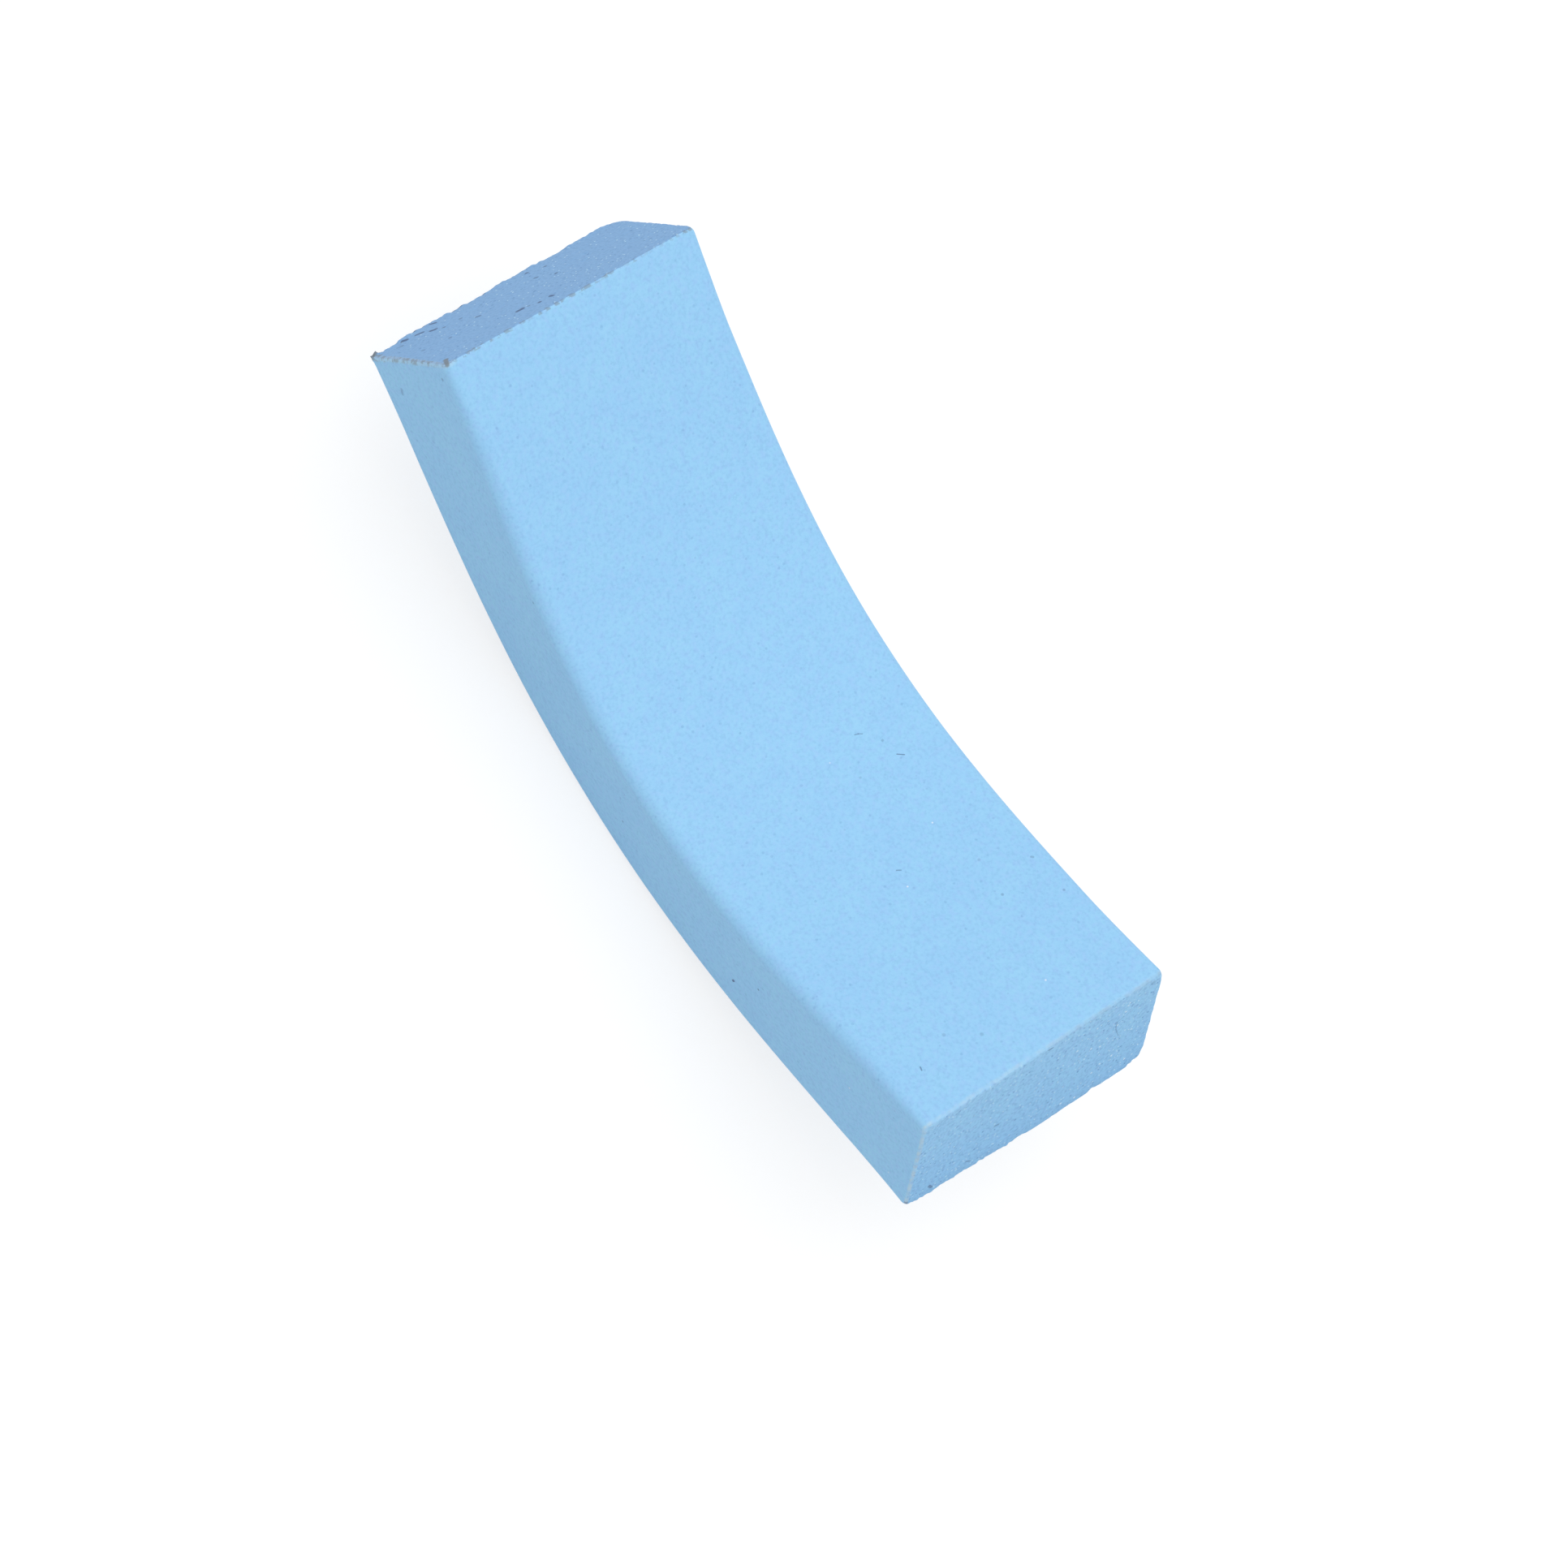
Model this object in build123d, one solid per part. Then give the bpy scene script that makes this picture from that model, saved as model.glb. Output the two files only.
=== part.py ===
from build123d import *
import os
from math import cos, radians, sin

# A bar of cleaning rubber, moulded with rounded long edges and cut square at both ends, bent like a rocker.
# X runs along the block and Y across it. It lies on its stretched broad face, with both ends off the ground,
# and the origin is on the ground under its middle.

# The straight block, in millimetres
LENGTH = 80.0
WIDTH = 25.0
THICKNESS = 13.0
EDGE_RADIUS = 1.2

# The bend: each half turns up by BEND degrees, most sharply at mid-length and not at all past BEND_REACH
BEND = 23.8
BEND_REACH = 31.0

# How much rubber widens where it is squeezed lengthwise, and narrows where it is stretched
SIDE_STRAIN_RATIO = 0.33

# How finely the bend is followed
SECTIONS = 13
STEPS = 200


def share_of_reach(along):
    """How far a place lies towards the end of the bend, from -1 to 1."""
    return max(-1.0, min(1.0, along / BEND_REACH))


def curvature(along):
    """Bending at a place along the block, per millimetre: a parabola that ends at BEND_REACH."""
    return 1.5 * radians(BEND) / BEND_REACH * (1 - share_of_reach(along) ** 2)


def slope(along):
    """Rise of the centreline in radians: the curvature added up from mid-length."""
    share = share_of_reach(along)
    return 1.5 * radians(BEND) * (share - share**3 / 3)


def centre(along):
    """X and Z of the centreline, added up from mid-length in short steps."""
    step = along / STEPS
    slopes = [slope((i + 0.5) * step) for i in range(STEPS)]
    return step * sum(cos(a) for a in slopes), step * sum(sin(a) for a in slopes)


def section(along):
    """The block cut square to its length: squeezed and wide above, stretched and narrow below, and crowned."""
    give = SIDE_STRAIN_RATIO * curvature(along)
    half_width = WIDTH / 2
    half_thick = THICKNESS / 2
    wide = half_width * (1 + give * half_thick)
    narrow = half_width * (1 - give * half_thick)
    crown = give * half_width**2 / 2
    above = half_thick - crown
    below = -half_thick - crown
    outline = [
        Bezier((wide, above), (0, above + 2 * crown), (-wide, above)),
        Line((-wide, above), (-narrow, below)),
        Bezier((-narrow, below), (0, below + 2 * crown), (narrow, below)),
        Line((narrow, below), (wide, above)),
    ]
    x, z = centre(along)
    tilt = slope(along)
    across = Plane(origin=(x, 0, z), x_dir=(0, 1, 0), z_dir=(cos(tilt), 0, sin(tilt)))
    return across * make_face(outline)


def eraser_block():
    """The whole block, standing on the ground under its middle."""
    places = [LENGTH * (i / (SECTIONS - 1) - 0.5) for i in range(SECTIONS)]
    sharp = loft([section(along) for along in places])
    long_edges = sharp.edges().sort_by(SortBy.LENGTH)[-4:]
    block = fillet(long_edges, EDGE_RADIUS)
    return Pos(Z=-block.bounding_box().min.Z) * block


os.makedirs("parts", exist_ok=True)
export_step(eraser_block(), "parts/eraser_block.step")
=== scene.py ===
import math

import bpy
import numpy as np
from mathutils import Matrix, Vector, noise


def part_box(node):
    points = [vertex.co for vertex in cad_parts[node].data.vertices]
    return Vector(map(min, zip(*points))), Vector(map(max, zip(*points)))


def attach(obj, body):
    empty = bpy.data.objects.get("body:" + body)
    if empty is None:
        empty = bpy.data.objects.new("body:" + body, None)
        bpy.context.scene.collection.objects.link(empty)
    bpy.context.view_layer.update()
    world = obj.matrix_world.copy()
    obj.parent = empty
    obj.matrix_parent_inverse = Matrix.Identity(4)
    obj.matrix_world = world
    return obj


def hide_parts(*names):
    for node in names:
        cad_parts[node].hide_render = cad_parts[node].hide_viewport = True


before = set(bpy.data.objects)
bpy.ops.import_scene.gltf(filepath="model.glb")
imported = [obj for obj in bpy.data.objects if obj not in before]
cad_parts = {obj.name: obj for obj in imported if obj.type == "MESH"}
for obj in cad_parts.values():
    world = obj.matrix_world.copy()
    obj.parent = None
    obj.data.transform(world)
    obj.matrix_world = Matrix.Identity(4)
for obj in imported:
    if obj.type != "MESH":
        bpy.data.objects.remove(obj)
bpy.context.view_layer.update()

# A light-blue cleaning rubber, bent like a rocker. It is modelled in the coordinates of the straight block,
# in millimetres: along its length, across its width and up through its thickness, from the middle of the
# block. The bend then carries each point to its place, in metres. The near end is the one at +X. As one
# faces it, left is at -Y and right at +Y.
MM = 0.001
LENGTH = 80.0
WIDTH = 25.0
THICKNESS = 13.0
HALF_LENGTH = LENGTH / 2
HALF_WIDTH = WIDTH / 2
HALF_THICK = THICKNESS / 2

# The long edges are rounded. They sharpen to END_RADIUS at the cuts, over the last END_REACH. A higher
# END_POWER leaves more of that to the end.
EDGE_RADIUS = 1.2
END_RADIUS = 0.6
END_REACH = 9.0
END_POWER = 1.5

# The bend: each half turns up by BEND degrees, and lies straight past BEND_REACH from mid-length. The
# rubber widens where it is squeezed lengthwise and narrows where it is stretched.
BEND = math.radians(23.8)
BEND_REACH = 31.0
SIDE_STRAIN_RATIO = 0.33

# The centreline is added up in steps of BEND_STEP, and a few more of them past the ends
BEND_STEP = 0.05
SPARE_STEPS = 4

# How fine the mesh is: quads across and through a cut, how far the first rings lie from a cut, and the
# largest step between the other rings
CELLS_ACROSS = 200
CELLS_THROUGH = 104
RIM_STEPS = [0.0, 0.07, 0.15, 0.25, 0.38, 0.55, 0.8, 1.15, 1.65, 2.3, 3.1]
LONG_STEP = 1.45

# A point this near the end of the straight block lies on a cut
TOLERANCE = 1e-6

# The cuts were made by hand: the knife went in at the top and tore the rubber where it came out below.
# Their mean planes lie CUT_DEPTH inside the block's ends.
CUT_DEPTH = 0.12

# The near cut's lower rim bulges furthest a little right of the middle, and has a burr there
BULGE_ACROSS = 4.0
BULGE_SLOPE = 0.034
BULGE_ROUNDING = 2.0
BULGE_REACH = 0.17
TOP_TWIST = 0.002
BURR_ACROSS = 4.2
BURR_WIDTH = 0.5
BURR_REACH = 0.08
BURR_POWER = 6

# The far cut leans in at its lower rim, which has a step and, near its left corner, a chip
FAR_LEAN = 0.14
STEP_ACROSS = -4.6
STEP_DEPTH = 0.15
STEP_RUN = 0.12
STEP_FADE = 2.5
CHIP_ACROSS = -11.0
CHIP_DEPTH = 0.25
CHIP_WIDTH = 1.8
CHIP_POWER = 4

# The nib at that corner: where it is, its half sizes, how far it sticks out and how much of it is left
NIB_PLACE = (-40.0, -12.2, -6.1)
NIB_SIZE = (0.35, 0.5, 0.35)
NIB_REACH = 0.4
NIB_SHARE = 0.7

# The rims of the cuts are worn round, most of all at their corners
RIM_WEAR = 0.22
CORNER_WEAR = 0.3
CORNER_REACH = 1.0

# How far the nicks in a rim reach along the skin, and how far into the cut its points follow the rim
NICK_REACH = 0.3
DRAW_REACH = 1.5

# The noise that roughens the surfaces, in layers. Each has a height, a width of its bumps and a seed.
KNIFE_WAVES = (0.04, 4.0, 3)
KNIFE_STRETCH = (1.0, 0.35, 1.0)
CUT_GRAIN = [(0.026, 0.75, 1), (0.02, 0.4, 2)]
PITS = (0.2, 0.8, 4)
PIT_LEVEL = 0.08
TORN_RIM = [(0.14, 4.0, 5), (0.1, 1.8, 6), (0.07, 0.8, 12), (0.09, 0.38, 13)]
TORN_HEIGHT = 0.8
NICKS = (0.11, 0.6, 9)
FUZZ = (0.015, 0.35, 10)
LOWER_NICKS = (0.1, 0.9, 14)
LOWER_NICK_HEIGHT = 0.6
SKIN_WAVES = [(0.016, 9.0, 7), (0.006, 2.4, 8)]
NIB_ROUGHNESS = (1.0, 0.2, 11)
SEED_STEPS = (17.3, 5.1, 9.7)

# The camera, fitted to the block's outline in a photograph of 1932 by 1932 pixels. It looks at a point on
# the level of the centreline at mid-length. Heading is counterclockwise from X, seen from above.
FOCAL_PIXELS = 7151.7
FRAME_PIXELS = 1932
SENSOR = 36.0
AIM = (6.158, 0.824)
DISTANCE = 473.95
HEADING = math.radians(92.998)
ELEVATION = math.radians(65.770)
ROLL = math.radians(55.088)


# The bend

def bend_at(along):
    """Curvature per millimetre, and slope in radians, at places along the block."""
    share = np.clip(along / BEND_REACH, -1, 1)
    # The curvature is a parabola, whose mean is two thirds of its peak
    peak = 1.5 * BEND
    return peak / BEND_REACH * (1 - share**2), peak * (share - share**3 / 3)


def centreline():
    """Places along the block with the X and Z of the centreline there, added up in short steps."""
    count = int(math.ceil(HALF_LENGTH / BEND_STEP)) + SPARE_STEPS
    along = np.arange(-count, count + 1) * BEND_STEP
    slope = bend_at((along[1:] + along[:-1]) / 2)[1]
    x = np.concatenate([[0], np.cumsum(np.cos(slope))]) * BEND_STEP
    z = np.concatenate([[0], np.cumsum(np.sin(slope))]) * BEND_STEP
    return along, x - x[count], z - z[count]


CENTRELINE = centreline()


def bent(points):
    """Points of the straight block carried to the bent one, about the middle of its centreline."""
    along, across, up = points.T
    curvature, slope = bend_at(along)
    places, x, z = CENTRELINE
    give = SIDE_STRAIN_RATIO * curvature
    level = up - give * across**2 / 2
    bent_x = np.interp(along, places, x) - level * np.sin(slope)
    bent_y = across * (1 + give * up)
    bent_z = np.interp(along, places, z) + level * np.cos(slope)
    return np.column_stack([bent_x, bent_y, bent_z])


# The straight block's outline

def side(half_long, half_short, count, radius):
    """One side of the rounded section, lying along the first axis, from mid-corner to mid-corner."""
    flat = half_long - radius
    run = np.linspace(-1, 1, count + 1) * (flat + radius * math.pi / 4)
    turn = np.maximum(abs(run) - flat, 0) / radius
    first = np.sign(run) * (np.minimum(abs(run), flat) + radius * np.sin(turn))
    return np.stack([first, -half_short + radius * (1 - np.cos(turn))], axis=1)


def spread(below, above, left, right):
    """A grid of points spread evenly between its four sides."""
    u = np.linspace(0, 1, len(below))[:, None, None]
    v = np.linspace(0, 1, len(left))[None, :, None]
    between = (1 - v) * below[:, None] + v * above[:, None] + (1 - u) * left[None] + u * right[None]
    low = (1 - u) * below[0] + u * below[-1]
    high = (1 - u) * above[0] + u * above[-1]
    return between - (1 - v) * low - v * high


def section_grid(radius):
    """Across and up of points all over a section, whose sides meet in rounded corners."""
    below = side(HALF_WIDTH, HALF_THICK, CELLS_ACROSS, radius)
    right = side(HALF_THICK, HALF_WIDTH, CELLS_THROUGH, radius)[:, ::-1] * (-1, 1)
    return spread(below, below * (1, -1), right * (-1, 1), right)


def rim_of(grid):
    """What lies round a grid's edge, anticlockwise from its first corner."""
    return np.concatenate([grid[:-1, 0], grid[-1, :-1], grid[:0:-1, -1], grid[0, :0:-1]])


def spread_inside(rim):
    """A grid of points spread evenly inside such a rim."""
    closed = np.concatenate([rim, rim[:1]])
    below, rest = closed[: CELLS_ACROSS + 1], closed[CELLS_ACROSS:]
    right, rest = rest[: CELLS_THROUGH + 1], rest[CELLS_THROUGH:]
    above, left = rest[: CELLS_ACROSS + 1], rest[CELLS_ACROSS:]
    return spread(below, above[::-1], left[::-1], right)


def stations():
    """Places of the rings along the block, close together near each cut."""
    near = np.array(RIM_STEPS)
    plain = LENGTH - 2 * near[-1]
    count = int(math.ceil(plain / LONG_STEP))
    middle = np.linspace(0, plain, count + 1)[1:-1] + near[-1]
    return np.concatenate([near, middle, LENGTH - near[::-1]]) - HALF_LENGTH


# What the mould, the knife and wear left on the surfaces

def bumps(points, height, width, seed):
    """Smooth noise at points, of about plus or minus a height, with bumps of a width."""
    shift = Vector([seed * step for step in SEED_STEPS])
    return height * np.array([noise.noise(Vector(p) / width + shift) for p in points])


def hollows(points, depth, width, seed):
    """The same noise about a mean depth, so that none of it stands out."""
    return depth + bumps(points, depth, width, seed)


def lower_rim(points, height):
    """1 on the lower rim of a cut, fading over a height above it."""
    return np.exp(-(((points[:, 2] + HALF_THICK) / height) ** 2))


def near_cut_form(across, up):
    """How far the near cut stands out past its mean plane: bulged at its lower rim, twisted at its top."""
    bulge = BULGE_SLOPE * (np.hypot(across - BULGE_ACROSS, BULGE_ROUNDING) - BULGE_ROUNDING)
    burr = BURR_REACH * np.exp(-(((across - BURR_ACROSS) / BURR_WIDTH) ** 2))
    low_share = 0.5 - up / THICKNESS
    twist = (1 - low_share) * TOP_TWIST * across
    return low_share * (BULGE_REACH - bulge) - twist + low_share**BURR_POWER * burr


def far_cut_form(across, up):
    """How far the far cut stands out past its mean plane: least at its lower rim, in the step and chip."""
    past = across - STEP_ACROSS
    step = STEP_DEPTH / (1 + np.exp(-past / STEP_RUN)) * np.exp(-np.maximum(past, 0) / STEP_FADE)
    chip = CHIP_DEPTH * np.exp(-(((across - CHIP_ACROSS) / CHIP_WIDTH) ** 2))
    low_share = 0.5 - up / THICKNESS
    return -low_share * FAR_LEAN - low_share**CHIP_POWER * (step + chip)


def torn_rim(points):
    """Unevenness of a cut near its lower rim, the same at each height: in waves, steps and fine teeth."""
    line = points * (1.0, 1.0, 0.0)
    return sum(bumps(line, *layer) for layer in TORN_RIM) * lower_rim(points, TORN_HEIGHT)


def corner_nib(points):
    """A torn nib left on the lower corner of the far cut, which sticks out past the cut and sideways."""
    gap = np.linalg.norm((points - NIB_PLACE) / NIB_SIZE, axis=1)
    share = np.clip(NIB_SHARE + bumps(points, *NIB_ROUGHNESS), 0, 1)
    return NIB_REACH * np.exp(-(gap**2)) * share


def distance_to_rim(points):
    """Distance over the surface to the nearer cut's rim, on the skin or on a cut itself."""
    on_skin = HALF_LENGTH - abs(points[:, 0])
    past = abs(points[:, 1:]) - (HALF_WIDTH - END_RADIUS, HALF_THICK - END_RADIUS)
    round_corner = np.linalg.norm(np.maximum(past, 0), axis=1)
    to_outline = END_RADIUS - round_corner - np.minimum(past.max(axis=1), 0)
    return np.where(on_skin < TOLERANCE, np.maximum(to_outline, 0), on_skin)


def rim_wear(points):
    """How far the surface is worn down beside a cut's rim: at the rim, to the middle of a quarter round."""
    from_corner = np.hypot(HALF_WIDTH - abs(points[:, 1]), HALF_THICK - abs(points[:, 2]))
    radius = RIM_WEAR + CORNER_WEAR * np.exp(-((from_corner / CORNER_REACH) ** 2))
    at_rim = (1 - math.cos(math.pi / 4)) * radius
    return at_rim * np.clip(1 - distance_to_rim(points) / radius, 0, 1) ** 2


def relief_of_cut(points):
    """How far a cut lies below the end of the block: its form, and grains torn out or left standing."""
    across, up = points[:, 1], points[:, 2]
    form = np.where(points[:, 0] > 0, near_cut_form(across, up), far_cut_form(across, up))
    waves = bumps(points * KNIFE_STRETCH, *KNIFE_WAVES)
    grain = sum(bumps(points, *layer) for layer in CUT_GRAIN)
    standing = form + waves + grain + torn_rim(points) + corner_nib(points)
    pits = np.maximum(bumps(points, *PITS) - PIT_LEVEL, 0)
    return np.maximum(CUT_DEPTH - standing + pits, 0) + rim_wear(points)


def rag_of_rim(points):
    """How far the skin stands in from its outline at a cut, in nicks that are deepest on the lower rim."""
    nicks = np.maximum(bumps(points, *NICKS), 0)
    lower_nicks = np.maximum(bumps(points, *LOWER_NICKS), 0) * lower_rim(points, LOWER_NICK_HEIGHT)
    return nicks + lower_nicks + hollows(points, *FUZZ)


# The mesh

def inward_of(outline):
    """The direction into an outline, square to it, at each of its points."""
    run = np.roll(outline, -1, axis=0) - np.roll(outline, 1, axis=0)
    inward = np.stack([-run[:, 1], run[:, 0]], axis=1)
    return inward / np.linalg.norm(inward, axis=1)[:, None]


def sleeve_points(along):
    """The skin's points in the straight block, ring by ring, and the same points worn."""
    moulded = rim_of(section_grid(EDGE_RADIUS))
    sharpened = rim_of(section_grid(END_RADIUS))
    to_end = np.clip(1 - (HALF_LENGTH - abs(along)) / END_REACH, 0, 1) ** END_POWER
    outlines = moulded + to_end[:, None, None] * (sharpened - moulded)
    around = len(moulded)
    straight = np.column_stack([np.repeat(along, around), outlines.reshape(-1, 2)])

    inset = sum(hollows(straight, *layer) for layer in SKIN_WAVES) + rim_wear(straight)
    for end, ring in ((-1, straight[:around]), (1, straight[-around:])):
        beside = np.exp(-(((HALF_LENGTH - end * along) / NICK_REACH) ** 2))
        inset += np.outer(beside, rag_of_rim(ring)).ravel()
    worn = straight.copy()
    worn[:, 1:] += np.tile(inward_of(moulded), (len(along), 1)) * inset[:, None]
    worn[:, 1] -= corner_nib(straight)
    return straight, worn


def cut_points(end, worn_rim):
    """A cut's points in the straight block, the same points worn, and how far each lies below the end."""
    section = section_grid(END_RADIUS).reshape(-1, 2)
    straight = np.column_stack([np.full(len(section), end * HALF_LENGTH), section])
    relief = relief_of_cut(straight)
    to_worn = spread_inside(worn_rim).reshape(-1, 2) - section
    worn = straight.copy()
    worn[:, 0] -= end * relief
    worn[:, 1:] += np.exp(-distance_to_rim(straight) / DRAW_REACH)[:, None] * to_worn
    return straight, worn, relief


def quads_of(names):
    """The faces between neighbours in a grid of points' numbers."""
    corners = [names[:-1, :-1], names[1:, :-1], names[1:, 1:], names[:-1, 1:]]
    return np.stack(corners, axis=-1).reshape(-1, 4)


def block_mesh():
    """The block's points, straight and worn, the faces of its skin and of its cuts, and its two rims."""
    along = stations()
    straight, worn = sleeve_points(along)
    sleeve = np.arange(len(straight)).reshape(len(along), -1)
    skin_faces = quads_of(np.column_stack([sleeve, sleeve[:, :1]]))

    # Each cut shares the sleeve's first or last ring, and adds its inner points. The rings beside it follow
    # its relief.
    places = np.arange((CELLS_ACROSS + 1) * (CELLS_THROUGH + 1)).reshape(CELLS_ACROSS + 1, -1)
    rim = rim_of(places)
    inner = np.setdiff1d(places, rim)
    all_straight, all_worn, cut_faces, count = [straight], [worn], [], len(straight)
    for end, ring in ((-1, sleeve[0]), (1, sleeve[-1])):
        cut_straight, cut_worn, relief = cut_points(end, worn[ring, 1:])
        beside = np.clip(1 - (HALF_LENGTH - end * along) / RIM_STEPS[-1], 0, 1)
        worn[:, 0] -= end * np.outer(beside, relief[rim]).ravel()
        names = np.empty(places.size, int)
        names[rim] = ring
        names[inner] = count + np.arange(len(inner))
        count += len(inner)
        all_straight.append(cut_straight[inner])
        all_worn.append(cut_worn[inner])
        faces = quads_of(names[places])
        cut_faces.append(faces if end > 0 else faces[:, ::-1])
    straight, worn = np.concatenate(all_straight), np.concatenate(all_worn)
    return straight, worn, skin_faces, np.concatenate(cut_faces), sleeve[[0, -1]]


def hold(mesh, name, kind, domain, values):
    """Values that the mesh holds at each of its points or edges."""
    field = "vector" if kind == "FLOAT_VECTOR" else "value"
    mesh.attributes.new(name, kind, domain).data.foreach_set(field, values)


def add(name, data):
    """An object of the scene."""
    made = bpy.data.objects.new(name, data)
    bpy.context.scene.collection.objects.link(made)
    return made


def make_block(skin, cut):
    """The block as one piece: skin on its sleeve, cut rubber on its ends, and a sharp edge between."""
    straight, worn, skin_faces, cut_faces, rims = block_mesh()
    places = bent(worn)
    places[:, 2] -= places[:, 2].min()
    faces = np.concatenate([skin_faces, cut_faces])
    mesh = bpy.data.meshes.new("rubber_bar")
    mesh.from_pydata((places * MM).tolist(), [], faces.tolist())
    mesh.materials.append(skin)
    mesh.materials.append(cut)
    on_cut = np.arange(len(faces)) >= len(skin_faces)
    mesh.polygons.foreach_set("material_index", on_cut.astype(int))
    mesh.polygons.foreach_set("use_smooth", np.ones(len(faces), bool))

    hold(mesh, "straight", "FLOAT_VECTOR", "POINT", straight.astype(np.float32).ravel())
    hold(mesh, "to_rim", "FLOAT", "POINT", distance_to_rim(straight).astype(np.float32))
    on_rim = np.zeros(len(straight), bool)
    on_rim[rims] = True
    edges = np.empty(len(mesh.edges) * 2, int)
    mesh.edges.foreach_get("vertices", edges)
    hold(mesh, "sharp_edge", "BOOLEAN", "EDGE", on_rim[edges].reshape(-1, 2).all(axis=1))
    mesh.update()
    mesh.validate()
    return add("rubber_bar", mesh)


# The materials

# Textures with different seeds are moved apart by these steps
NOISE_STEPS = (1.0, 3.1, 7.7)
SPOT_STEPS = (1.0, 2.3, 5.9)

# A mark is full up to one share of its width, or of a spot's radius, and gone at the other
STROKE_FULL = 0.3
STROKE_GONE = 0.75
SPOT_FULL = 0.55

# Which of the Mix node's sockets are for colours
MIX_AMOUNT = 0
MIX_FIRST = 6
MIX_SECOND = 7
MIX_RESULT = 2


class Shading:
    """The node tree of a material or of the world, with a short call for each kind of node."""

    def __init__(self, owner):
        owner.use_nodes = True
        self.tree = owner.node_tree
        self.tree.nodes.clear()

    def node(self, kind, inputs=None, **settings):
        """A new node, with its settings made and its inputs linked or set."""
        made = self.tree.nodes.new(kind)
        for name, value in settings.items():
            setattr(made, name, value)
        for name, value in (inputs or {}).items():
            self.set(made.inputs[name], value)
        return made

    def set(self, socket, value):
        if isinstance(value, bpy.types.NodeSocket):
            self.tree.links.new(value, socket)
        else:
            socket.default_value = value

    def math(self, operation, first, second):
        return self.node("ShaderNodeMath", {0: first, 1: second}, operation=operation).outputs[0]

    def vector(self, operation, inputs):
        return self.node("ShaderNodeVectorMath", inputs, operation=operation).outputs

    def fade(self, value, low, high, at_low=0.0, at_high=1.0):
        """A smooth step of a value between two limits."""
        inputs = {"Value": value, "From Min": low, "From Max": high, "To Min": at_low, "To Max": at_high}
        return self.node("ShaderNodeMapRange", inputs, interpolation_type="SMOOTHSTEP").outputs["Result"]

    def within(self, value, full, gone):
        """1 where a value is under one limit, fading to 0 at a higher one."""
        return self.fade(value, full, gone, at_low=1.0, at_high=0.0)

    def all_of(self, *masks):
        """The product of several masks or numbers."""
        product = masks[0]
        for mask in masks[1:]:
            product = self.math("MULTIPLY", product, mask)
        return product

    def lay(self, colour, over, *masks):
        """A colour with another laid over it, as far as all the masks let it."""
        mixer = self.node("ShaderNodeMix", data_type="RGBA", clamp_factor=True)
        amount = self.all_of(*masks)
        for place, value in ((MIX_AMOUNT, amount), (MIX_FIRST, colour), (MIX_SECOND, over)):
            self.set(mixer.inputs[place], value)
        return mixer.outputs[MIX_RESULT]

    def moved(self, place, seed, steps):
        """A place moved by a seed, so that two textures don't line up."""
        shift = [seed * step for step in steps]
        return self.vector("ADD", {0: place, 1: shift})["Vector"]

    def noise(self, place, size, detail, seed):
        """Noise with bumps of a size in millimetres."""
        inputs = {"Vector": self.moved(place, seed, NOISE_STEPS), "Scale": 1 / size, "Detail": detail}
        return self.node("ShaderNodeTexNoise", inputs).outputs["Fac"]

    def spots(self, place, cell, radius, share, seed):
        """Round spots scattered one to a cell, in millimetres, of which only a share is there."""
        inputs = {"Vector": self.moved(place, seed, SPOT_STEPS), "Scale": 1 / cell}
        cells = self.node("ShaderNodeTexVoronoi", inputs).outputs
        spot = self.within(cells["Distance"], SPOT_FULL * radius / cell, radius / cell)
        pick = self.node("ShaderNodeSeparateColor", {"Color": cells["Color"]}).outputs[0]
        return self.all_of(spot, self.math("LESS_THAN", pick, share))

    def stroke(self, place, start, end, width):
        """A short line from one point of the straight block to another, or a dot where they are one."""
        start = Vector(start)
        run = Vector(end) - start
        away = self.vector("SUBTRACT", {0: place, 1: start})["Vector"]
        if run.length > 0:
            heading = run.normalized()
            along = self.vector("DOT_PRODUCT", {0: away, 1: heading})["Value"]
            limits = {"Value": along, "Min": 0.0, "Max": run.length}
            on_line = self.node("ShaderNodeClamp", limits).outputs[0]
            foot = self.vector("SCALE", {0: heading, "Scale": on_line})["Vector"]
            away = self.vector("SUBTRACT", {0: away, 1: foot})["Vector"]
        gap = self.vector("LENGTH", {0: away})["Value"]
        return self.within(gap, STROKE_FULL * width, STROKE_GONE * width)


def linear(red, green, blue):
    """A colour read on screen, from 0 to 255, as the light that it stands for by the sRGB curve."""
    parts = [c / 255 for c in (red, green, blue)]
    return tuple(p / 12.92 if p <= 0.04045 else ((p + 0.055) / 1.055) ** 2.4 for p in parts) + (1.0,)


BLUE = linear(154, 210, 247)
BLUE_DEEP = linear(152, 207, 247)
BLUE_VIOLET = linear(155, 204, 247)
# Painted shade for the near cut, darker towards its lower rim
BLUE_LOW_SHADE = linear(132, 189, 239)
# Painted shade for the whole far cut, darker and a little more violet
BLUE_FAR_SHADE = linear(135, 178, 225)
BLUE_DARK = linear(92, 136, 190)
BLUE_PALE = linear(198, 234, 254)
PALE = linear(210, 236, 255)
DIRT = linear(122, 124, 122)
# The dark blue below serves dirt and hairs, and also painted shade low on the near cut
DIRT_AND_SHADE_BLUE = linear(70, 88, 128)
TAN = linear(210, 220, 216)
WHITE = linear(250, 252, 255)


def dot(place, width, strength):
    """A mark that is a point."""
    return place, place, width, strength
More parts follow.
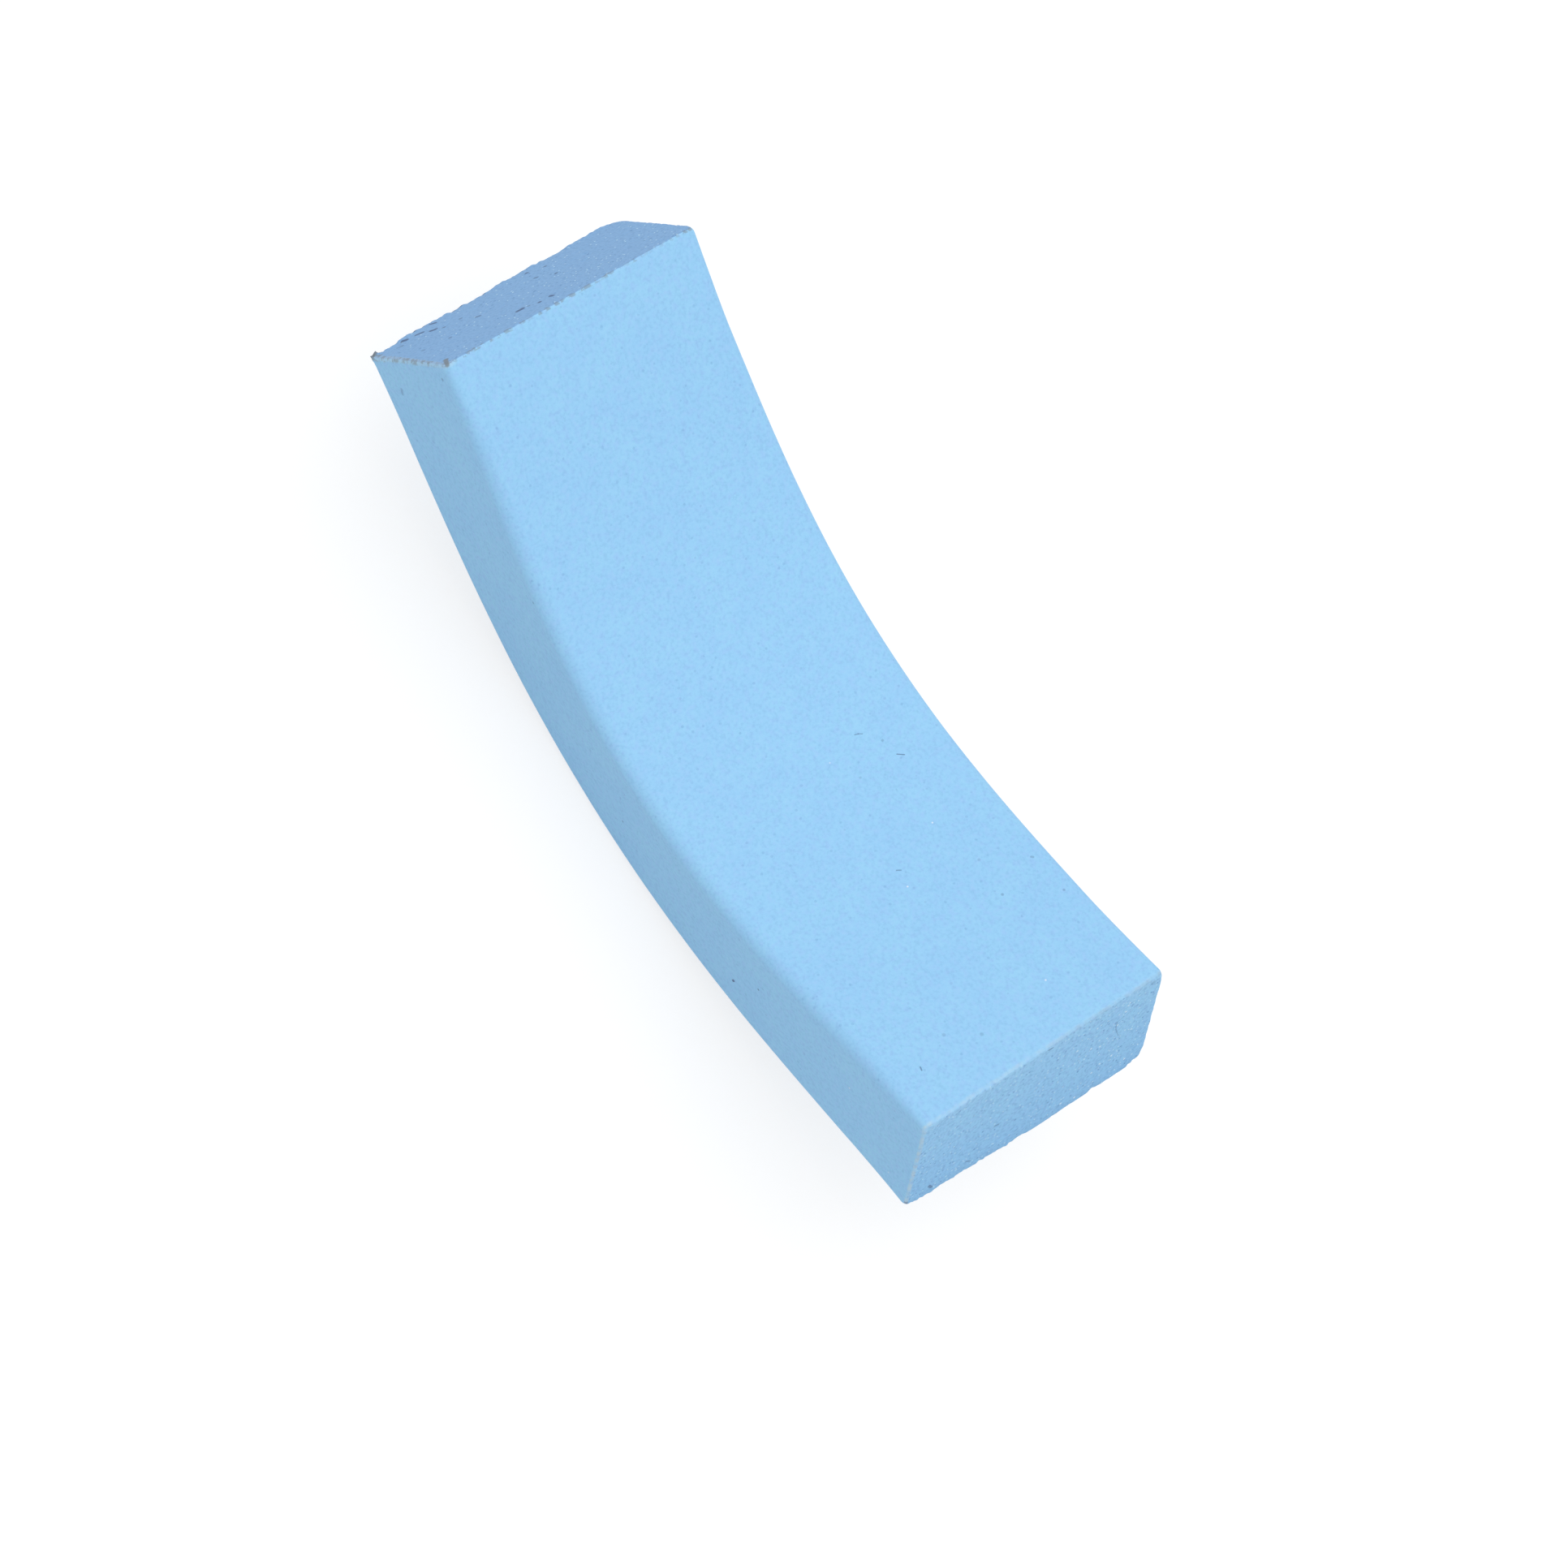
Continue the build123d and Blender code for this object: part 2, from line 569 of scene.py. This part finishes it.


# Marks on the moulded skin, each from one place to another in the straight block, with its width and how
# strongly it shows: fine hairs and dark specks, then painted glints
TOP = HALF_THICK
NEAR_SIDE = -HALF_WIDTH
SKIN_MARKS = [
    ((6.8, 5.2, TOP), (6.9, 5.5, TOP), 0.09, 0.5),
    ((6.9, 5.5, TOP), (7.1, 5.8, TOP), 0.09, 0.5),
    ((10.4, 7.2, TOP), (10.8, 7.7, TOP), 0.1, 0.65),
    ((19.6, 0.8, TOP), (19.8, 1.1, TOP), 0.11, 0.5),
    dot((8.6, 6.9, TOP), 0.24, 0.3),
    dot((10.5, 3.4, TOP), 0.22, 0.2),
    dot((22.8, 6.9, TOP), 0.26, 0.2),
    ((25.1, 10.6, TOP), (25.2, 10.7, TOP), 0.2, 0.35),
    dot((26.2, 11.8, TOP), 0.22, 0.3),
    dot((26.6, 6.4, TOP), 0.24, 0.35),
    dot((29.2, 10.8, TOP), 0.22, 0.35),
    ((35.3, -9.2, TOP), (35.6, -9.3, TOP), 0.11, 0.6),
    dot((35.8, -3.3, TOP), 0.3, 0.25),
    dot((34.1, -5.8, TOP), 0.3, 0.22),
    ((17.0, NEAR_SIDE, -2.3), (17.1, NEAR_SIDE, -2.1), 0.22, 0.85),
    dot((19.8, NEAR_SIDE, 0.8), 0.2, 0.6),
    dot((1.8, NEAR_SIDE, -1.0), 0.2, 0.5),
    dot((-18.3, NEAR_SIDE, 5.2), 0.24, 0.35),
    ((-37.0, NEAR_SIDE, -3.0), (-36.6, NEAR_SIDE, -3.2), 0.3, 0.3),
    dot((-38.6, NEAR_SIDE, 5.0), 0.3, 0.35),
]
PAINTED_GLINTS = [dot(place, 0.14, 0.65) for place in ((34.9, 4.1, TOP), (21.4, 0.6, TOP), (17.6, 5.9, TOP))]

# Marks on the cuts: a crack and torn grains on the near one, dirt on the far one
NEAR_CUT = HALF_LENGTH
FAR_CUT = -HALF_LENGTH
CUT_MARKS = [
    ((NEAR_CUT, 8.7, 3.2), (NEAR_CUT, 8.0, 3.0), 0.1, 0.3),
    ((NEAR_CUT, 8.0, 3.0), (NEAR_CUT, 8.1, 1.8), 0.1, 0.4),
    ((NEAR_CUT, 8.1, 1.8), (NEAR_CUT, 8.6, 0.4), 0.1, 0.3),
    ((NEAR_CUT, -4.1, -1.4), (NEAR_CUT, -3.7, -1.5), 0.18, 0.5),
    ((NEAR_CUT, 0.3, 6.1), (NEAR_CUT, 0.7, 6.1), 0.2, 0.6),
    dot((NEAR_CUT, 11.3, 5.9), 0.45, 0.25),
    ((NEAR_CUT, -10.2, -5.0), (NEAR_CUT, -9.9, -5.5), 0.28, 0.6),
    ((NEAR_CUT, -6.5, -4.7), (NEAR_CUT, -6.0, -5.1), 0.2, 0.4),
    ((FAR_CUT, -9.7, -5.7), (FAR_CUT, -9.4, -5.4), 0.34, 0.8),
    ((FAR_CUT, -8.6, -5.1), (FAR_CUT, -8.1, -4.8), 0.34, 0.7),
    ((FAR_CUT, -6.8, -5.8), (FAR_CUT, -6.5, -5.4), 0.3, 0.75),
    ((FAR_CUT, -7.7, -4.0), (FAR_CUT, -7.4, -3.8), 0.4, 0.85),
    dot((FAR_CUT, -7.0, -3.0), 0.34, 0.6),
    ((FAR_CUT, -10.6, -4.9), (FAR_CUT, -10.3, -4.6), 0.28, 0.5),
    ((FAR_CUT, -4.9, -1.0), (FAR_CUT, -4.7, -0.9), 0.32, 0.6),
    dot((FAR_CUT, -10.7, -0.2), 0.36, 0.35),
    dot((FAR_CUT, -8.4, 0.5), 0.36, 0.4),
    dot((FAR_CUT, -5.4, -2.9), 0.36, 0.4),
    dot((FAR_CUT, -1.7, 4.1), 0.36, 0.8),
    ((FAR_CUT, -0.6, 4.1), (FAR_CUT, -0.5, 4.3), 0.36, 0.75),
    ((FAR_CUT, -3.4, 3.3), (FAR_CUT, -2.9, 3.3), 0.38, 0.8),
    dot((FAR_CUT, -2.4, 3.5), 0.3, 0.5),
    ((FAR_CUT, 2.6, -5.2), (FAR_CUT, 2.6, -5.1), 0.32, 0.75),
    ((FAR_CUT, 2.0, -2.7), (FAR_CUT, 2.1, -2.6), 0.32, 0.6),
    dot((FAR_CUT, 3.9, -4.2), 0.32, 0.6),
    ((FAR_CUT, 3.0, -0.9), (FAR_CUT, 3.1, -1.0), 0.3, 0.55),
]

# Dirt caught on the far end's corners
CORNER_DIRT = [
    ((FAR_CUT, -12.2, -6.2), (FAR_CUT, -11.9, -6.2), 0.6, 0.7),
    dot((FAR_CUT, -12.1, -5.4), 0.4, 0.5),
    ((FAR_CUT, -11.7, 5.3), (FAR_CUT, -12.3, 6.4), 0.42, 0.75),
]

# A band along an edge of the section is full up to one distance from the side, and gone at the other
BAND_FULL = 0.6
BAND_GONE = 1.2

# The same for what lies along the rims of the cuts, by the distance from the rim
HAIR = (0.1, 0.26)
BROAD = (0.12, 0.42)
DEEP = (0.1, 0.5)

# Heights on the near cut, for painted light on it: painted shade darkens it from its lower rim up to the
# first, painted light makes it paler from the second to its upper rim, and more painted shade lies full up
# to the third and fades out at the fourth
LOW_SHADE_TOP = HALF_THICK - 1.5
PALE_LIGHT_FROM = HALF_THICK - 2.0
BOTTOM_SHADE_FULL = 0.3 - HALF_THICK
BOTTOM_SHADE_GONE = 2.1 - HALF_THICK

# Spots on the cuts, in order: pits, then small and larger pale spots, both painted glints of the grains.
# Each has its colour, how far apart the spots are, their radius, a seed and how strongly they show.
CUT_SPOTS = [
    (BLUE_DARK, 0.5, 0.13, 2.0, 0.6),
    (BLUE_PALE, 0.4, 0.1, 6.0, 0.8),
    (PALE, 0.9, 0.15, 9.0, 0.9),
]

# How much of the near cut's pale upper rim line shows, a tan hairline with painted highlight, on the skin's
# side and on the cut's side
PALE_RIM_ON_SKIN = 0.55
PALE_RIM_ON_CUT = 0.15

# The rubber's finish
SPECULAR = 0.3
BUMP_DEPTH = 0.05
SKIN_BUMP = 0.2
SKIN_ROUGHNESS = 0.62
CUT_BUMP = 0.6
CUT_ROUGHNESS = 0.7


class Straight:
    """Places in the straight block, in millimetres, for a material to lay its pattern by."""

    def __init__(self, shading):
        self.place = shading.node("ShaderNodeAttribute", attribute_name="straight").outputs["Vector"]
        self.along, self.across, self.up = shading.node("ShaderNodeSeparateXYZ", {0: self.place}).outputs
        self.to_rim = shading.node("ShaderNodeAttribute", attribute_name="to_rim").outputs["Fac"]
        self.near = shading.math("GREATER_THAN", self.along, 0.0)
        self.far = shading.math("LESS_THAN", self.along, 0.0)
        self.left = shading.within(self.across, BAND_FULL - HALF_WIDTH, BAND_GONE - HALF_WIDTH)
        self.above = shading.fade(self.up, HALF_THICK - BAND_GONE, HALF_THICK - BAND_FULL)
        self.below = shading.within(self.up, BAND_FULL - HALF_THICK, BAND_GONE - HALF_THICK)


def marks(shading, colour, where, listed, dark):
    """Short marks laid over a colour."""
    for start, end, width, strength in listed:
        colour = shading.lay(colour, dark, shading.stroke(where.place, start, end, width), strength)
    return colour


def rim_dirt_and_highlight(shading, colour, where, pale_rim_share):
    """What shows along the cuts' rims and crosses from the skin to the cut: pale tan hairlines, a painted
    highlight on the near cut's upper rim, and dirt.
    """
    hair, broad, deep = [shading.within(where.to_rim, *band) for band in (HAIR, BROAD, DEEP)]
    rough = shading.noise(where.place, size=0.8, detail=3.0, seed=1.0)
    uneven = shading.fade(rough, 0.35, 0.6, at_low=0.1, at_high=0.42)
    clots = shading.fade(shading.noise(where.place, size=0.5, detail=3.0, seed=2.0), 0.46, 0.58)
    streaks = shading.fade(shading.noise(where.place, size=0.6, detail=3.0, seed=5.0), 0.5, 0.6)
    slow = shading.noise(where.place, size=2.0, detail=1.0, seed=11.0)
    patches = shading.fade(slow, 0.4, 0.55, at_low=0.15, at_high=0.5)

    # How strongly a part shows changes across the block. The first is for the near cut's upper rim line, a
    # pale tan hairline with painted highlight.
    painted_light = shading.fade(where.across, -2.0, 4.0, at_low=pale_rim_share, at_high=0.6 * pale_rim_share)
    brown = shading.fade(where.across, -2.0, 4.0, at_high=0.4)
    near_low = shading.fade(where.across, -9.5, -7.5, at_low=0.6, at_high=0.12)
    far_low = shading.fade(where.across, -1.0, 4.0, at_low=0.75, at_high=0.2)
    layers = [
        (TAN, where.near, where.left, hair, uneven),
        # The near cut's upper rim: a pale tan hairline with painted highlight
        (TAN, where.near, where.above, broad, uneven, painted_light),
        (DIRT, where.near, where.above, hair, uneven, brown),
        (DIRT_AND_SHADE_BLUE, where.near, where.below, hair, streaks, near_low),
        (TAN, where.far, where.left, broad, 0.2),
        (DIRT, where.far, where.left, broad, clots, patches),
        (DIRT, where.far, where.above, hair, clots, patches),
        (DIRT_AND_SHADE_BLUE, where.far, where.below, deep, streaks, far_low),
    ]
    for over, *masks in layers:
        colour = shading.lay(colour, over, *masks)
    return marks(shading, colour, where, CORNER_DIRT, DIRT)


def blue_rubber(shading, where):
    """The rubber's own colour, faintly uneven."""
    mottle = shading.fade(shading.noise(where.place, size=3.5, detail=2.0, seed=0.0), 0.3, 0.7)
    tint = shading.fade(shading.noise(where.place, size=0.55, detail=2.0, seed=9.0), 0.4, 0.75)
    return shading.lay(shading.lay(BLUE, BLUE_DEEP, mottle), BLUE_VIOLET, tint)


def grain_of(shading, where):
    """The rubber's finest grain."""
    return shading.noise(where.place, size=0.3, detail=3.0, seed=4.0)


def finish_rubber(shading, colour, height, strength, roughness):
    """The shader that both surfaces share: matte rubber with a fine bump."""
    relief = {"Height": height, "Strength": strength, "Distance": BUMP_DEPTH * MM}
    bump = shading.node("ShaderNodeBump", relief).outputs[0]
    look = {"Base Color": colour, "Normal": bump, "Roughness": roughness, "Specular IOR Level": SPECULAR}
    rubber = shading.node("ShaderNodeBsdfPrincipled", look)
    shading.node("ShaderNodeOutputMaterial", {"Surface": rubber.outputs[0]})


def skin_material():
    """Moulded skin: even and matte, with fine filler specks, rare painted glints, and the marks of use."""
    material = bpy.data.materials.new("moulded_skin")
    shading = Shading(material)
    where = Straight(shading)
    colour = blue_rubber(shading, where)
    grain = grain_of(shading, where)
    colour = shading.lay(colour, BLUE_DARK, shading.fade(grain, 0.45, 0.75), 0.15)
    colour = shading.lay(colour, BLUE_PALE, shading.within(grain, 0.25, 0.5), 0.08)
    slow = shading.noise(where.place, size=5.0, detail=1.0, seed=12.0)
    crowd = shading.fade(slow, 0.4, 0.6, at_low=0.1, at_high=0.5)
    specks = shading.spots(where.place, cell=0.8, radius=0.16, share=crowd, seed=3.0)
    colour = shading.lay(colour, BLUE_DARK, specks, 0.2)
    # Painted glints: rare white spots
    glints = shading.spots(where.place, cell=3.0, radius=0.12, share=0.3, seed=8.0)
    colour = shading.lay(colour, WHITE, glints, 0.4)
    colour = marks(shading, colour, where, SKIN_MARKS, DIRT_AND_SHADE_BLUE)
    colour = marks(shading, colour, where, PAINTED_GLINTS, WHITE)
    colour = rim_dirt_and_highlight(shading, colour, where, PALE_RIM_ON_SKIN)
    finish_rubber(shading, colour, grain, SKIN_BUMP, SKIN_ROUGHNESS)
    return material


def cut_material():
    """Cut rubber: grains standing up and torn out, some painted as glints, some dark; painted shade and
    light.
    """
    material = bpy.data.materials.new("cut_rubber")
    shading = Shading(material)
    where = Straight(shading)
    colour = blue_rubber(shading, where)
    # Painted shade: the whole far cut is darker and a little more violet
    colour = shading.lay(colour, BLUE_FAR_SHADE, where.far, 0.85)
    # Painted shade: the near cut is darker towards its lower rim, most of all just above it
    painted_light = shading.within(where.up, -HALF_THICK, LOW_SHADE_TOP)
    colour = shading.lay(colour, BLUE_LOW_SHADE, where.near, painted_light, 0.42)
    # Painted light: the near cut is paler towards its upper rim
    painted_top_light = shading.fade(where.up, PALE_LIGHT_FROM, HALF_THICK)
    colour = shading.lay(colour, BLUE_PALE, where.near, painted_top_light, 0.08)
    bottom_shade = shading.within(where.up, BOTTOM_SHADE_FULL, BOTTOM_SHADE_GONE)
    colour = shading.lay(colour, DIRT_AND_SHADE_BLUE, where.near, bottom_shade, 0.08)
    grain = grain_of(shading, where)
    colour = shading.lay(colour, BLUE_DARK, shading.fade(grain, 0.4, 0.75), 0.34)

    # There are more spots right of the middle, and fewer on the far cut
    slow = shading.noise(where.place, size=3.5, detail=2.0, seed=7.0)
    crowd = shading.fade(slow, 0.35, 0.65, at_low=0.06, at_high=0.5)
    to_right = shading.fade(where.across, -3.0, 5.0, at_low=0.7, at_high=1.6)
    on_far = shading.fade(where.along, -1.0, 1.0, at_low=0.35)
    crowd = shading.all_of(crowd, to_right, on_far)
    # Pits, then pale spots that are painted glints of the grains
    for over, cell, radius, seed, strength in CUT_SPOTS:
        colour = shading.lay(colour, over, shading.spots(where.place, cell, radius, crowd, seed), strength)
    colour = marks(shading, colour, where, CUT_MARKS, DIRT_AND_SHADE_BLUE)
    colour = rim_dirt_and_highlight(shading, colour, where, PALE_RIM_ON_CUT)
    finish_rubber(shading, colour, grain, CUT_BUMP, CUT_ROUGHNESS)
    return material


# The stage: light levels are what a white card facing the light would send back, so that a colour renders
# about as it is written. The floor is in metres.
KEY_LEVEL = 0.14
KEY_FROM = (-0.1, 0.3, 0.94)
KEY_SPREAD = math.radians(50)
SURROUND_LEVEL = 0.89
FLOOR_PALE = 0.62
FLOOR_SEEN_PALE = 0.36
FLOOR_LIFT = 0.7
FLOOR_HALF = 4.0


def grey(level):
    """A colour between black at 0 and white at 1."""
    return (level, level, level, 1.0)


def seen(shading):
    """1 for what the camera sees, also mirrored or through glass, and 0 for what lights the scene."""
    path = shading.node("ShaderNodeLightPath").outputs
    seen_or_mirrored = shading.math("MAXIMUM", path["Is Camera Ray"], path["Is Glossy Ray"])
    return shading.math("MAXIMUM", seen_or_mirrored, path["Is Transmission Ray"])


def floor_material():
    """White floor: it takes the block's shadow, and shows the camera plain white elsewhere."""
    material = bpy.data.materials.new("floor_white")
    shading = Shading(material)
    by_camera = seen(shading)
    pale = shading.lay(grey(FLOOR_PALE), grey(FLOOR_SEEN_PALE), by_camera)
    matte = shading.node("ShaderNodeBsdfDiffuse", {"Color": pale})
    lift = shading.math("MULTIPLY", by_camera, FLOOR_LIFT)
    glow = shading.node("ShaderNodeEmission", {"Color": grey(1.0), "Strength": lift})
    both = shading.node("ShaderNodeAddShader", {0: matte.outputs[0], 1: glow.outputs[0]})
    shading.node("ShaderNodeOutputMaterial", {"Surface": both.outputs[0]})
    return material


def make_floor():
    """A square of white floor that the block stands on."""
    half = FLOOR_HALF
    corners = [(-half, -half, 0.0), (half, -half, 0.0), (half, half, 0.0), (-half, half, 0.0)]
    mesh = bpy.data.meshes.new("floor")
    mesh.from_pydata(corners, [], [(0, 1, 2, 3)])
    mesh.materials.append(floor_material())
    floor = add("floor", mesh)


def make_lamp():
    """A broad soft lamp almost overhead, a little behind the block."""
    lamp = bpy.data.lights.new("key", "SUN")
    lamp.energy = KEY_LEVEL * math.pi
    lamp.angle = KEY_SPREAD
    key = add("key", lamp)
    key.rotation_mode = "QUATERNION"
    key.rotation_quaternion = Vector(KEY_FROM).to_track_quat("Z", "Y")


def make_surround():
    """Even light from all round, which the camera sees as white."""
    world = bpy.data.worlds.new("surround")
    shading = Shading(world)
    level = shading.fade(seen(shading), 0.0, 1.0, at_low=SURROUND_LEVEL)
    glow = shading.node("ShaderNodeBackground", {"Color": grey(1.0), "Strength": level})
    shading.node("ShaderNodeOutputWorld", {"Surface": glow.outputs[0]})
    bpy.context.scene.world = world


def make_camera(centre_height):
    """The camera at the photograph's place, for a block whose centreline is at a height in millimetres."""
    ahead = Vector((math.cos(HEADING), math.sin(HEADING), 0.0))
    down = Vector((0.0, 0.0, -1.0))
    forward = math.cos(ELEVATION) * ahead + math.sin(ELEVATION) * down
    level = forward.cross(Vector((0, 0, 1))).normalized()
    upright = level.cross(forward)
    right = math.cos(ROLL) * level + math.sin(ROLL) * upright
    up = math.cos(ROLL) * upright - math.sin(ROLL) * level
    place = (Vector((*AIM, centre_height)) - DISTANCE * forward) * MM
    turn = Matrix((right, up, -forward)).transposed()
    lens = bpy.data.cameras.new("camera")
    lens.sensor_width = SENSOR
    lens.lens = SENSOR * FOCAL_PIXELS / FRAME_PIXELS
    camera = add("camera", lens)
    camera.matrix_world = Matrix.Translation(place) @ turn.to_4x4()
    bpy.context.scene.camera = camera


def rest_height():
    """Height of the centreline at mid-length over the ground, from the CAD block's top at its ends."""
    top_corner = np.array([[HALF_LENGTH, 0.0, HALF_THICK]])
    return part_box("eraser_block")[1].z / MM - bent(top_corner)[0, 2]


block = make_block(skin_material(), cut_material())
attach(block, "root")
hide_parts("eraser_block")

make_floor()
make_lamp()
make_surround()
make_camera(rest_height())
bpy.context.scene.view_settings.view_transform = "Standard"
